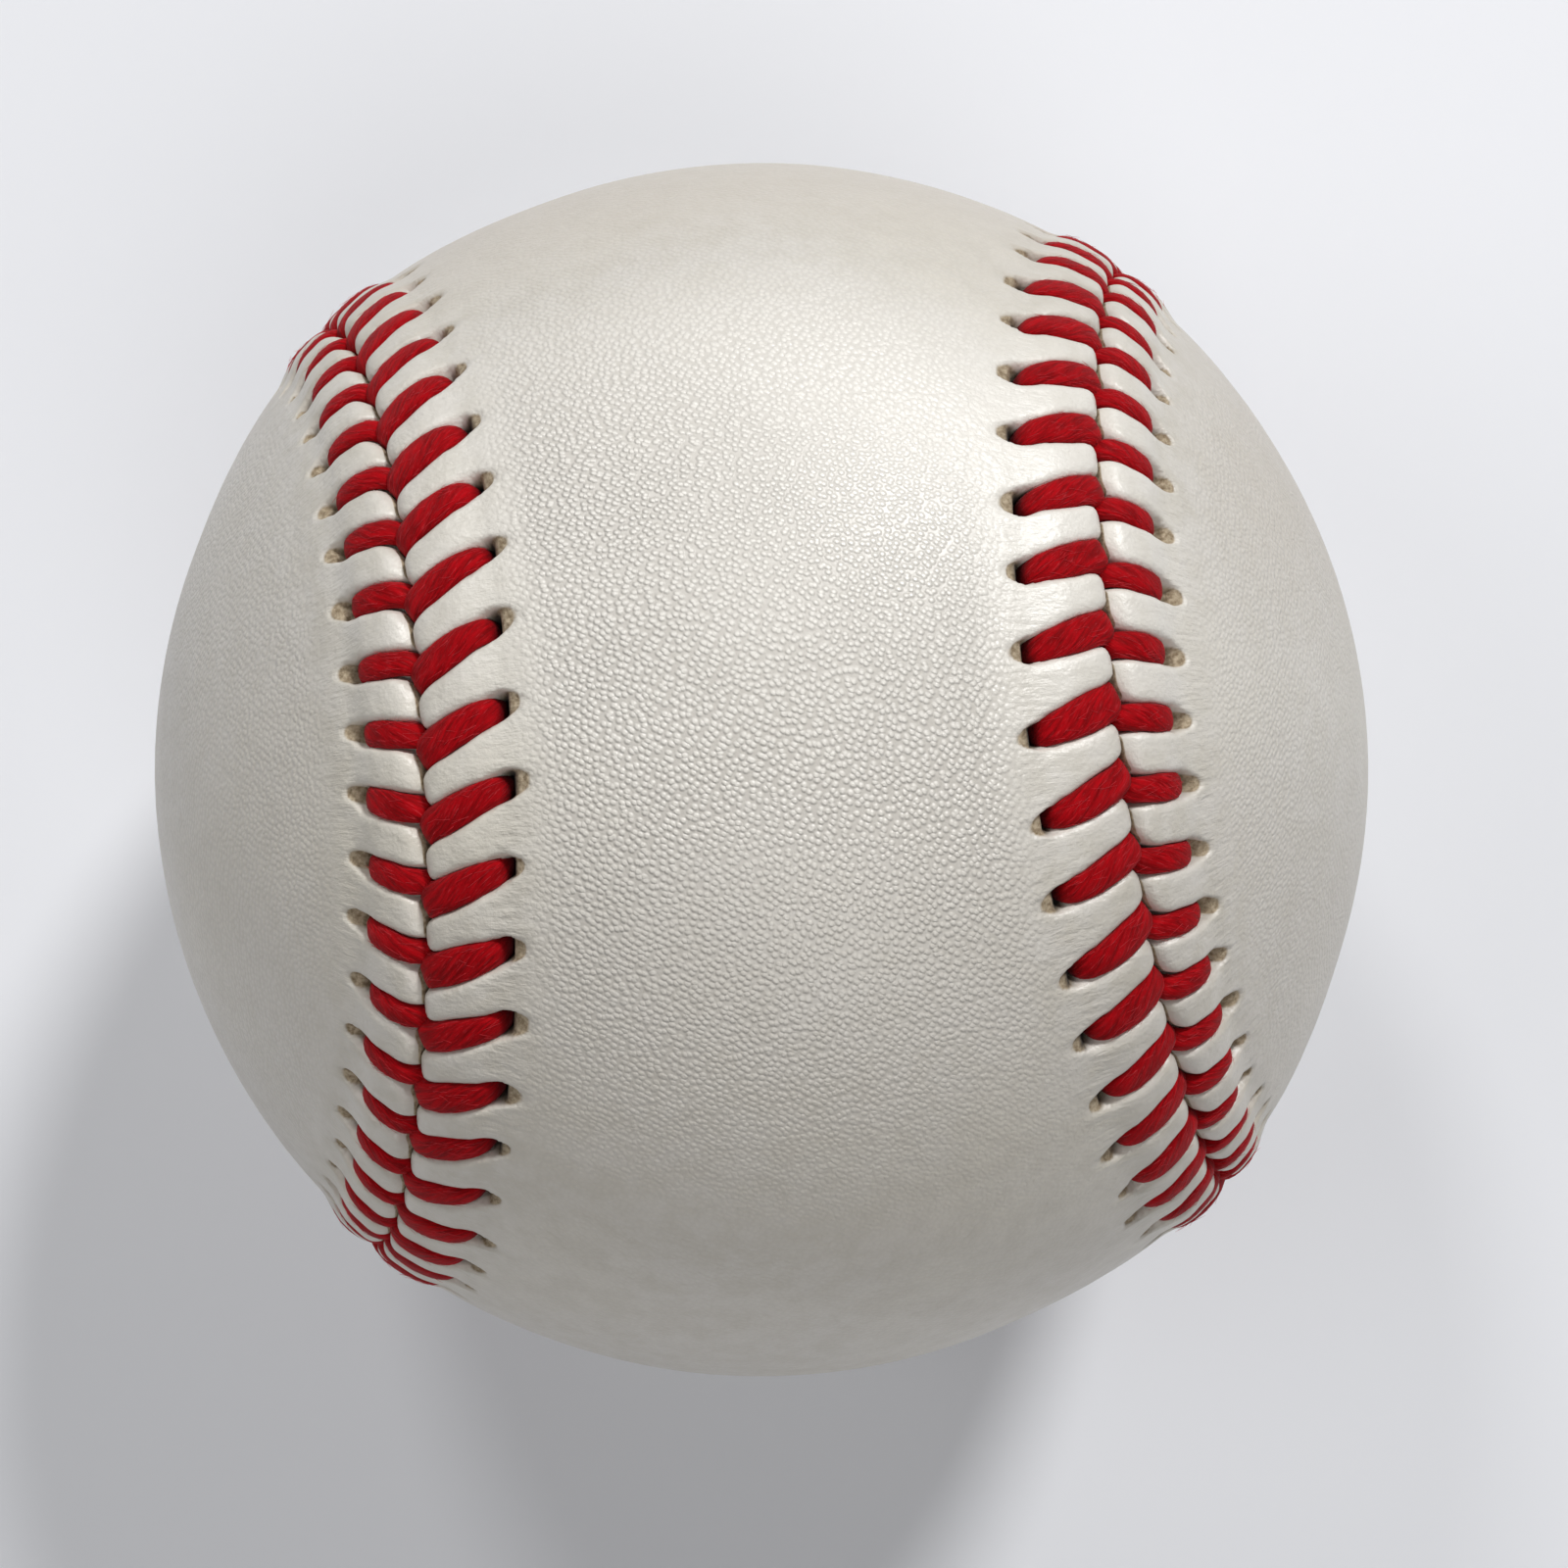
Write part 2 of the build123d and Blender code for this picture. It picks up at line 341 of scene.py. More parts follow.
def strip(side):
    """Points and paint of the strip, and of the cut edge down to the underside."""
    along = column_along(side, rows)
    across = np.broadcast_to(rows[None], along.shape)
    height = leather_height(side, along, rows)
    open_share, depth, shade = slot_depth(side, rows)
    height = height - open_share * depth
    give = seam_opening(side, along) * np.exp(-across / GIVE_REACH)
    shift = seam_shift(along) * np.exp(-across / SWING_REACH)
    points = place(along, side * (across + give) + shift, height)
    round_again = np.minimum(np.mod(along, SEAM_LENGTH), np.mod(-along, SEAM_LENGTH))
    crease = CREASE_SHALLOW + (1 - CREASE_SHALLOW) * smooth(*CREASE_DEEPEN, across)
    crease = crease * smooth(*CREASE_START, across) * smooth(*CREASE_END, across)
    paint = {
        "grain": smooth(*GRAIN_RUN, across),
        "raw": np.maximum(open_share, smooth(EDGE_RAW, 0.0, across)),
        # Painted shadow where a needle hole is open and in the shade of its leg
        "painted_shadow": smooth(*SHADOW_RUN, open_share) * shade,
        "crease": crease * smooth(CREASE_GAP[0] * PITCH, CREASE_GAP[1] * PITCH, round_again),
        "seam_at": np.stack([along, across, np.zeros_like(along)], axis=-1),
    }
    wall_rows = len(EDGE_HEIGHTS)
    wall_along = np.repeat(column_along(side, rows[:1]), wall_rows, axis=1)
    wall_height = np.broadcast_to(np.array([EDGE_HEIGHTS]), wall_along.shape)
    wall = place(wall_along, side * seam_opening(side, wall_along) + seam_shift(wall_along), wall_height)
    # The cut edge gets painted shade
    wall_paint = {"grain": 0.0, "raw": 1.0, "painted_shadow": EDGE_SHADE, "crease": 0.0, "seam_at": 0.0}
    for name, value in paint.items():
        wall_value = np.full((len(value), wall_rows) + value.shape[2:], wall_paint[name])
        paint[name] = np.concatenate([wall_value, value], axis=1)
    return np.concatenate([wall, points], axis=1), paint


POINT_AREA = 0.87  # what a point takes up, in squares of the spacing


def ball_points(spacing):
    """Points spread evenly over the ball."""
    count = int(4 * pi * BALL_RADIUS**2 / (POINT_AREA * spacing**2))
    number = np.arange(count) + 0.5
    turn = number * pi * (3 - sqrt(5))
    z = 1 - 2 * number / count
    ring = np.sqrt(1 - z * z)
    return BALL_RADIUS * np.stack([ring * np.cos(turn), ring * np.sin(turn), z], axis=1)


def fill(side, rim, inside):
    """Triangles that join a rim and the points inside it, over the panel."""
    points = np.concatenate([rim, inside])
    unit = unit_of(points)
    flat = unit[:, :2] / (1 + side * unit[:, 2])[:, None]
    count = len(rim)
    edges = [(k, (k + 1) % count) for k in range(count)]
    found = delaunay_2d_cdt([Vector(p) for p in flat], edges, [], 1, 1e-9)
    source = [origin[0] if origin else -1 for origin in found[3]]
    return np.array([[source[k] for k in face] for face in found[2]])


HOLLOW_SIZE = 9.0
HOLLOW_DEPTH = 0.045


def undulation(points):
    """Slow, shallow hollows in the leather, never proud of the ball."""
    value = np.array([noise.noise(Vector(p) / HOLLOW_SIZE) for p in points])
    return -HOLLOW_DEPTH * (0.5 + 0.5 * value)


def outward(points, triangles):
    """Turns triangles so that they face away from the centre."""
    a, b, c = (points[triangles[:, k]] for k in range(3))
    flip = np.einsum("ij,ij->i", np.cross(b - a, c - a), a + b + c) < 0
    triangles[flip] = triangles[flip][:, ::-1]
    return triangles


# Grain of the hide: lozenges in rows, laid out flat over the panel's waist and over each of its ends
GRAIN_WAIST = {FRONT: 1.0, BACK: 0.50}
GRAIN_ENDS = {FRONT: 0.32, BACK: 0.36}
# Cosines of the angle from the waist's middle: where its grain takes over, and where it is deepest
WAIST_SHARE_FROM = (0.55, 0.80)
GRAIN_WAIST_FROM = (0.62, 0.92)
# The front panel's grain is deeper above its middle, by distance up in ball radii
GRAIN_UP = (-0.65, -0.40, -0.20, 0.05, 0.25, 0.50, 0.75)
GRAIN_DEPTH = (0.32, 0.50, 0.72, 0.94, 1.00, 0.56, 0.33)
# It is nearly rubbed away at one place
RUBBED_AT = (0.36, 0.36)
RUBBED_REACH = 0.22
RUBBED = 0.8
GRAIN_SLANT = radians(-34)
GRAIN_LONG = 0.39
GRAIN_SHORT = 0.32


def grain_cells(points, axis, right, up):
    """Points on the ball laid out flat round an axis, counted in lozenges of the grain."""
    unit = unit_of(points)
    angle = np.arccos(np.clip(unit @ axis, -1, 1))
    stretch = BALL_RADIUS * angle / np.maximum(np.sin(angle), 1e-6)
    x = stretch * (unit @ right)
    y = stretch * (unit @ up)
    rows_at = (y * cos(GRAIN_SLANT) - x * sin(GRAIN_SLANT)) / GRAIN_SHORT
    cells_at = (x * cos(GRAIN_SLANT) + y * sin(GRAIN_SLANT)) / GRAIN_LONG
    return np.stack([cells_at, rows_at, np.zeros(len(points))], axis=1)


def grain_paint(side, points):
    """Where points lie in the grain of the waist and of the ends, and how much of it is the waist's."""
    x, y, z = np.eye(3)
    if side == FRONT:
        waist, right, up, end_up = z, x, y, z
    else:
        waist, right, up, end_up = -z, y, x, -z
    one = grain_cells(points, up, right, -end_up)
    other = grain_cells(points, -up, right, end_up)
    unit = unit_of(points)
    return {
        "waist_grain": grain_cells(points, waist, right, up),
        "end_grain": np.where((unit @ up > 0)[:, None], one, other),
        "waist_share": smooth(*WAIST_SHARE_FROM, unit @ waist),
    }


# Painted light on the hide: a painted highlight above the middle of the front, and painted shade towards
# the bottom, the left, the top and the upper right. Places are in ball radii.
HIGHLIGHT_AT = (0.11, 0.28)
HIGHLIGHT_REACH = 0.50
SHADE_BELOW = 0.20
SHADE_LEFT = 0.15
SHADE_ABOVE = 1.1
SHADE_CORNER = 0.85


def painted_highlight_and_shade(points):
    """Above 0 where a highlight is painted on the hide and below 0 where shade is painted."""
    x, y, z = unit_of(points).T
    from_highlight = (x - HIGHLIGHT_AT[0]) ** 2 + (y - HIGHLIGHT_AT[1]) ** 2
    highlight = np.exp(-from_highlight / HIGHLIGHT_REACH**2) * smooth(0.0, 0.4, z)
    below = SHADE_BELOW * smooth(0.05, -0.35, y)
    left = SHADE_LEFT * smooth(-0.35, -0.90, x)
    above = SHADE_ABOVE * smooth(0.45 - 0.13 * smooth(0.05, 0.35, x), 0.85, y)
    corner = SHADE_CORNER * smooth(0.42, 0.80, x) * smooth(-0.05, 0.35, y)
    return highlight - np.max([below, left, above, corner], axis=0)


def make_object(name, points, faces, paint, material):
    """A smooth mesh object from points in millimetres, with painted values on its points."""
    mesh = bpy.data.meshes.new(name)
    mesh.from_pydata((points * MM).tolist(), [], faces)
    for key, values in paint.items():
        kind = "FLOAT_VECTOR" if values.ndim == 2 else "FLOAT"
        field = "vector" if values.ndim == 2 else "value"
        made = mesh.attributes.new(key, kind, "POINT")
        made.data.foreach_set(field, values.astype(np.float32).ravel())
    mesh.polygons.foreach_set("use_smooth", [True] * len(mesh.polygons))
    mesh.materials.append(material)
    mesh.update()
    obj = bpy.data.objects.new(name, mesh)
    scene.collection.objects.link(obj)
    return obj


# Points that fill a panel: rows beside the strip and under the edge, as every so many columns and
# a distance, and then points spread evenly
RIM_ROWS = ((3, 0.35), (6, 0.95))
MIDDLE_SPACING = 1.2
MIDDLE_START = 2.1
UNDER_ROWS = ((6, 0.95), (12, 2.2))
UNDER_SPACING = 3.0
UNDER_START = 4.6
# What is painted over the middle of a panel, and on its underside
PLAIN_PAINT = {
    "grain": (1.0, 0.0),
    "raw": (0.0, 1.0),
    "painted_shadow": (0.0, 0.0),
    "crease": (0.0, 0.0),
    "seam_at": (0.0, 0.0),
}


def leather_panel(name, side, material):
    """One panel of the cover: a fine strip along the seam, filled in, with an underside."""
    points, paint = strip(side)
    count, depth = points.shape[:2]
    loop = points.reshape(-1, 3)
    number = np.arange(count * depth).reshape(count, depth)
    following = np.roll(number, -1, axis=0)
    corners = [number[:, :-1], number[:, 1:], following[:, 1:], following[:, :-1]]
    quads = np.stack(corners, axis=-1).reshape(-1, 4)
    if side == FRONT:
        quads = quads[:, ::-1]

    def inner_points(spacing, margin, rises):
        """Even points of the panel, further from the seam than a margin."""
        cloud = ball_points(spacing)
        along, off = seam_distance(cloud)
        inside = side * off > margin
        rise = rises * base_rise(along, np.abs(off))
        return (cloud * (1 + rise / BALL_RADIUS)[:, None])[inside]

    def beside_rim(every, extra):
        """A row of points beside the strip."""
        along = column_along(side, rows[-1:])[::every, 0]
        return place(along, side * (STRIP_WIDTH + extra), base_rise(along, STRIP_WIDTH + extra))

    middle = [beside_rim(every, extra) for every, extra in RIM_ROWS]
    middle = np.concatenate(middle + [inner_points(MIDDLE_SPACING, STRIP_WIDTH + MIDDLE_START, 1)])
    edge_along = column_along(side, rows[:1])[:, 0]
    under = [place(edge_along[::every], side * extra, 0.0) for every, extra in UNDER_ROWS]
    under = np.concatenate(under + [inner_points(UNDER_SPACING, UNDER_START, 0)])
    under *= (BALL_RADIUS - LEATHER) / BALL_RADIUS

    outer_rim = number[:, -1]
    inner_rim = number[:, 0]
    middle_start = len(loop)
    under_start = middle_start + len(middle)
    everything = np.concatenate([loop, middle, under])
    outer_numbers = np.concatenate([outer_rim, middle_start + np.arange(len(middle))])
    inner_numbers = np.concatenate([inner_rim, under_start + np.arange(len(under))])
    outer = outward(everything, outer_numbers[fill(side, loop[outer_rim], middle)])
    inner = outward(everything, inner_numbers[fill(side, loop[inner_rim], under)])[:, ::-1]

    top = np.ones(len(everything), bool)
    top[inner_rim] = False
    top[under_start:] = False
    radius = np.linalg.norm(everything, axis=1)
    change = np.where(top, undulation(everything), 0)
    everything = everything * ((radius + change) / radius)[:, None]
    painted = {}
    for key, (over, below) in PLAIN_PAINT.items():
        value = paint[key].reshape((len(loop),) + paint[key].shape[2:])
        over_middle = np.full((len(middle),) + value.shape[1:], over)
        on_underside = np.full((len(under),) + value.shape[1:], below)
        painted[key] = np.concatenate([value, over_middle, on_underside])
    painted.update(grain_paint(side, everything))
    # A painted highlight and painted shade, by place on the ball
    painted["highlight_and_shade"] = painted_highlight_and_shade(everything)
    inside = slice(middle_start, under_start)
    painted["grain"][inside] = smooth(*GRAIN_RUN, np.abs(seam_distance(middle)[1]))
    towards_waist = smooth(*GRAIN_WAIST_FROM, side * unit_of(everything)[:, 2])
    painted["grain"] *= GRAIN_ENDS[side] + (GRAIN_WAIST[side] - GRAIN_ENDS[side]) * towards_waist
    if side == FRONT:
        x, y = everything[:, 0] / BALL_RADIUS, everything[:, 1] / BALL_RADIUS
        rubbed = np.exp(-((x - RUBBED_AT[0]) ** 2 + (y - RUBBED_AT[1]) ** 2) / RUBBED_REACH**2)
        painted["grain"] *= np.interp(y, GRAIN_UP, GRAIN_DEPTH) * (1 - RUBBED * rubbed)
    faces = quads.tolist() + outer.tolist() + inner.tolist()
    return make_object(name, everything, faces, painted, material)


# Legs of thread: stations from the needle hole to the groove, as distance across the seam and height
LEG_STATIONS = {
    FRONT: [
        (4.20, -1.10), (4.19, -0.65), (4.10, -0.18), (3.80, 0.18), (3.25, 0.40), (2.50, 0.52),
        (1.75, 0.55), (1.10, 0.49), (0.66, 0.28), (0.40, -0.10), (0.32, -0.50), (0.30, -0.90),
    ],
    BACK: [
        (3.43, -1.10), (3.42, -0.65), (3.33, -0.18), (3.07, 0.16), (2.62, 0.37), (2.05, 0.50),
        (1.50, 0.53), (0.98, 0.47), (0.60, 0.27), (0.38, -0.10), (0.31, -0.50), (0.29, -0.90),
    ],
}
LEG_RINGS = 28
LEG_SIDES = 24
HALF_THICK = 0.35
SQUARENESS = 0.80
END_SQUARENESS = 0.55
TIP_REACH = {FRONT: 0.14, BACK: 0.0}
PLIES = 4
PLY_DEPTH = 0.05
PLY_TURN = 0.9
CURVE_STEPS = 12
# Heights over which a leg's own rise comes in, distances of its turn into the groove, and shaded heights
LIFT_RUN = (-0.2, 0.5)
GROOVE_TURN = (1.3, 0.35)
SHADED_RUN = (-0.60, 0.20)
# Fibre coordinates: length along the leg, width round it, and a number of its own for each leg
FIBRE_TURN = 0.42
FIBRE_ROUND = 0.45
FIBRE_STITCH = 3.7
FIBRE_SIDE = 500


def curve_through(stations, count):
    """Evenly spaced points on a smooth curve through stations."""
    stations = np.array(stations, float)
    before = 2 * stations[:1] - stations[1:2]
    after = 2 * stations[-1:] - stations[-2:-1]
    padded = np.concatenate([before, stations, after])
    t = np.linspace(0, 1, CURVE_STEPS, endpoint=False)[:, None]
    spans = []
    for k in range(len(stations) - 1):
        a, b, c, d = padded[k : k + 4]
        second, third = 2 * a - 5 * b + 4 * c - d, 3 * b - a - 3 * c + d
        spans.append(0.5 * (2 * b + (c - a) * t + second * t**2 + third * t**3))
    curve = np.concatenate(spans + [stations[-1:]])
    length = np.concatenate([[0], np.cumsum(np.linalg.norm(np.diff(curve, axis=0), axis=1))])
    at = np.linspace(0, length[-1], count)
    return np.stack([np.interp(at, length, curve[:, k]) for k in range(curve.shape[1])], axis=1)


def rounded(value, power):
    """A sine or cosine pushed out towards a rounded square."""
    return np.sign(value)[None] * np.abs(value)[None] ** power


def stitch_leg(side, stitch):
    """Rings of points of one leg of thread, their fibre coordinates, and how deep they lie."""
    line = curve_through(LEG_STATIONS[side], LEG_RINGS)
    across, height = line[:, 0], line[:, 1]
    height = height + leg_rise[side][stitch] * smooth(*LIFT_RUN, height)
    height = height + base_rise(stitch * PITCH, across) - RISE
    slope = np.gradient(np.stack([across, height], axis=1), axis=0)
    pace = np.linalg.norm(slope, axis=1)
    length = np.concatenate([[0], np.cumsum((pace[1:] + pace[:-1]) / 2)])
    out_across, out_height = slope[:, 1] / pace, -slope[:, 0] / pace

    turn = np.linspace(-pi / 2, 3 * pi / 2, LEG_SIDES, endpoint=False)
    strand = (PLIES * turn[None] + leg_phase[side][stitch]) / 2 + PLY_TURN * length[:, None]
    ply = 1 - PLY_DEPTH * (1 - np.abs(np.cos(strand)))
    wide = half_width(side, across) * leg_width[side][stitch]
    at_groove = smooth(*GROOVE_TURN, across)[:, None]
    power = SQUARENESS + (END_SQUARENESS - SQUARENESS) * at_groove
    beside = wide[:, None] * rounded(np.cos(turn), power) * ply
    beside = beside + TIP_REACH[side] * at_groove * np.clip(np.cos(turn), 0, 1)[None]
    above = HALF_THICK * rounded(np.sin(turn), power) * ply

    reach = hole_reach(side, across)
    stray_across = (hole_across[side][stitch] * reach)[:, None]
    point_across = across[:, None] + above * out_across[:, None] + stray_across
    point_height = height[:, None] + above * out_height[:, None]
    line_along = (leg_line(side, across) + hole_along[side][stitch] * reach)[:, None]
    point_along = stitch * PITCH + line_along + beside
    give = seam_opening(-side, point_along) - GROOVE_HALF
    signed = side * (point_across - at_groove * give) + seam_shift(point_along) * at_groove
    points = place(point_along, signed, point_height)

    lengthwise = np.broadcast_to(length[:, None], ply.shape)
    widthwise = np.broadcast_to((turn + pi / 2)[None] * FIBRE_ROUND, ply.shape)
    widthwise = widthwise + FIBRE_TURN * length[:, None]
    own = np.full(ply.shape, FIBRE_STITCH * stitch + FIBRE_SIDE * (side + 1))
    fibre = np.stack([lengthwise, widthwise, own], axis=-1)
    deep = 1 - smooth(*SHADED_RUN, point_height)
    return points, fibre, deep


# Loose fibres. They start at shares of the leg's length and of its upper half, run on by rings and sides
# of the leg, and stand off it by a length.
FUZZ_COUNT = 19
FUZZ_STEPS = 4
FUZZ_SIDES = 3
FUZZ_RADIUS = 0.017
FUZZ_TAPER = 0.7
FUZZ_AT = (0.24, 0.80)
FUZZ_ROUND = (0.08, 0.92)
FUZZ_RUN = (1.4, 4.0)
FUZZ_DRIFT = 1.3
FUZZ_LIFT = (0.02, 0.22)
FUZZ_CURL = 1.5
FUZZ_MARK = -9.0  # fibre coordinate by which the material knows them


def blend(first, second, share):
    """Points part of the way from first to second."""
    return first * (1 - share)[:, None] + second * share[:, None]


def loose_fibres(leg, fuzz):
    """Short fibres that lie along a leg and stand a little off it, each a thin tapering tube."""
    tubes = []
    share = np.linspace(0, 1, FUZZ_STEPS + 1)
    core = leg.mean(axis=1)
    for _ in range(FUZZ_COUNT):
        ring_at = fuzz.uniform(*FUZZ_AT) * (LEG_RINGS - 1)
        side_at = fuzz.uniform(*FUZZ_ROUND) * LEG_SIDES * 0.5 + LEG_SIDES * 0.25
        run = fuzz.uniform(*FUZZ_RUN) * fuzz.choice([-1, 1])
        drift = fuzz.uniform(-FUZZ_DRIFT, FUZZ_DRIFT)
        lift = fuzz.uniform(*FUZZ_LIFT)
        rings_at = np.clip(ring_at + run * share, 1, LEG_RINGS - 2)
        sides_at = side_at + drift * share
        low, part = rings_at.astype(int), rings_at % 1
        side_low, side_part = sides_at.astype(int), sides_at % 1
        one, other = side_low % LEG_SIDES, (side_low + 1) % LEG_SIDES
        near = blend(leg[low, one], leg[low, other], side_part)
        far = blend(leg[low + 1, one], leg[low + 1, other], side_part)
        line = blend(near, far, part)
        middle = blend(core[low], core[low + 1], part)
        out = unit_of(line - middle)
        line = line + out * (lift * share**FUZZ_CURL)[:, None]
        tangent = np.gradient(line, axis=0)
        tangent = tangent / np.maximum(np.linalg.norm(tangent, axis=1), 1e-9)[:, None]
        across = np.cross(tangent, out)
        turn = np.arange(FUZZ_SIDES) * 2 * pi / FUZZ_SIDES
        radius = (FUZZ_RADIUS * (1 - FUZZ_TAPER * share))[:, None, None]
        spread = np.cos(turn)[None, :, None] * out[:, None]
        spread = spread + np.sin(turn)[None, :, None] * across[:, None]
        tubes.append(line[:, None] + radius * spread)
    return np.array(tubes)


def tube_faces(first, around, rings):
    """Faces of a closed tube, from the number of its first point and the order of points in a ring."""
    size = len(around)
    following = np.roll(around, -1)
    faces = []
    for k in range(rings - 1):
        low = first + k * size + around
        beside = first + k * size + following
        faces += np.stack([low, beside, beside + size, low + size], axis=1).tolist()
    faces.append((first + around[::-1]).tolist())
    faces.append((first + (rings - 1) * size + around).tolist())
    return faces


def thread(name, start, material):
    """One of the two threads: a leg at every stitch, on the two panels by turns, with loose fibres."""
    points, fibres, deeps, faces = [], [], [], []
    fuzz = np.random.default_rng(SEED + 1 + start)
    ring = np.arange(LEG_SIDES)
    tube = np.arange(FUZZ_SIDES)
    tube_size = (FUZZ_STEPS + 1) * FUZZ_SIDES
    size = LEG_RINGS * LEG_SIDES
    whole = size + FUZZ_COUNT * tube_size
    for stitch in range(STITCHES):
        side = FRONT if (stitch + start) % 2 else BACK
        leg, fibre, deep = stitch_leg(side, stitch)
        base = stitch * whole
        tubes = loose_fibres(leg, fuzz)
        points += [leg.reshape(-1, 3), tubes.reshape(-1, 3)]
        pale = np.zeros((FUZZ_COUNT * tube_size, 3))
        pale[:, 0] = FUZZ_MARK
        fibres += [fibre.reshape(-1, 3), pale]
        deeps += [deep.ravel(), np.zeros(FUZZ_COUNT * tube_size)]
        faces += tube_faces(base, ring if side == FRONT else ring[::-1], LEG_RINGS)
        for number in range(FUZZ_COUNT):
            faces += tube_faces(base + size + number * tube_size, tube, FUZZ_STEPS + 1)
    paint = {"fibre": np.concatenate(fibres), "deep": np.concatenate(deeps)}
    return make_object(name, np.concatenate(points), faces, paint, material)


def new_material(name):
    """A material with its node tree and its shader."""
    material = bpy.data.materials.new(name)
    material.use_nodes = True
    tree = material.node_tree
    return material, tree, tree.nodes["Principled BSDF"]


def add_node(tree, kind, settings=(), **inputs):
    """A shader node with its settings, and inputs given as values or as sockets to link."""
    made = tree.nodes.new(kind)
    for key, value in dict(settings).items():
        setattr(made, key, value)
    for key, value in inputs.items():
        numbered = key[0] == "i" and key[1:].isdigit()
        socket = made.inputs[int(key[1:]) if numbered else key.replace("_", " ")]
        if isinstance(value, bpy.types.NodeSocket):
            tree.links.new(value, socket)
        else:
            socket.default_value = value
    return made


def mix_colour(tree, share, first, second):
    return add_node(tree, "ShaderNodeMix", {"data_type": "RGBA"}, i0=share, i6=first, i7=second).outputs[2]


def math_node(tree, operation, first, second=0.0, third=0.0):
    made = add_node(tree, "ShaderNodeMath", {"operation": operation}, i0=first, i1=second, i2=third)
    return made.outputs[0]


def ramp(tree, value, low, high, to_low=0.0, to_high=1.0):
    """A value stretched smoothly from low..high to another range."""
    made = add_node(
        tree,
        "ShaderNodeMapRange",
        {"interpolation_type": "SMOOTHSTEP"},
        Value=value,
        From_Min=low,
        From_Max=high,
        To_Min=to_low,
        To_Max=to_high,
    )
    return made.outputs["Result"]


def attribute(tree, name, output="Fac"):
    return add_node(tree, "ShaderNodeAttribute", {"attribute_name": name}).outputs[output]


def noise_at(tree, where, scale, detail=3.0, rough=0.55, output="Fac"):
    made = add_node(tree, "ShaderNodeTexNoise", Vector=where, Scale=scale, Detail=detail, Roughness=rough)
    return made.outputs[output]


def object_place(tree):
    """Where a point is on its object, in metres."""
    return add_node(tree, "ShaderNodeTexCoord").outputs["Object"]


def bumped(tree, shader, height, distance):
    """Gives a shader fine relief, with its depth in metres."""
    made = add_node(tree, "ShaderNodeBump", Strength=1.0, Distance=distance, Height=height)
    tree.links.new(made.outputs["Normal"], shader.inputs["Normal"])


def colour(red, green, blue):
    return (red, green, blue, 1.0)


# Colours of the leather, among them a painted highlight, painted shade, some dirt with painted shade for
# the grain's hollows and painted shadow for the holes, the depth of its relief in metres, and its gloss
HIDE = colour(0.715, 0.680, 0.622)
HIDE_YELLOW = colour(0.705, 0.662, 0.568)
HIDE_PINK = colour(0.680, 0.625, 0.568)
HIDE_MOTTLED = colour(0.665, 0.630, 0.570)
HIDE_WORN = colour(0.610, 0.570, 0.490)
HIDE_GRAINED = colour(0.800, 0.762, 0.700)
PAINTED_HIGHLIGHT = colour(0.960, 0.925, 0.855)
PAINTED_SHADE = colour(0.600, 0.545, 0.465)
HOLLOW_DIRT_AND_SHADE = colour(0.43, 0.395, 0.345)
SPECK = colour(0.10, 0.075, 0.05)
SUEDE_DARK = colour(0.210, 0.150, 0.082)
SUEDE_PALE = colour(0.53, 0.435, 0.305)
HOLE_SHADOW = colour(0.012, 0.009, 0.007)
LEATHER_RELIEF = 0.000085
LEATHER_GLOSS = 0.90


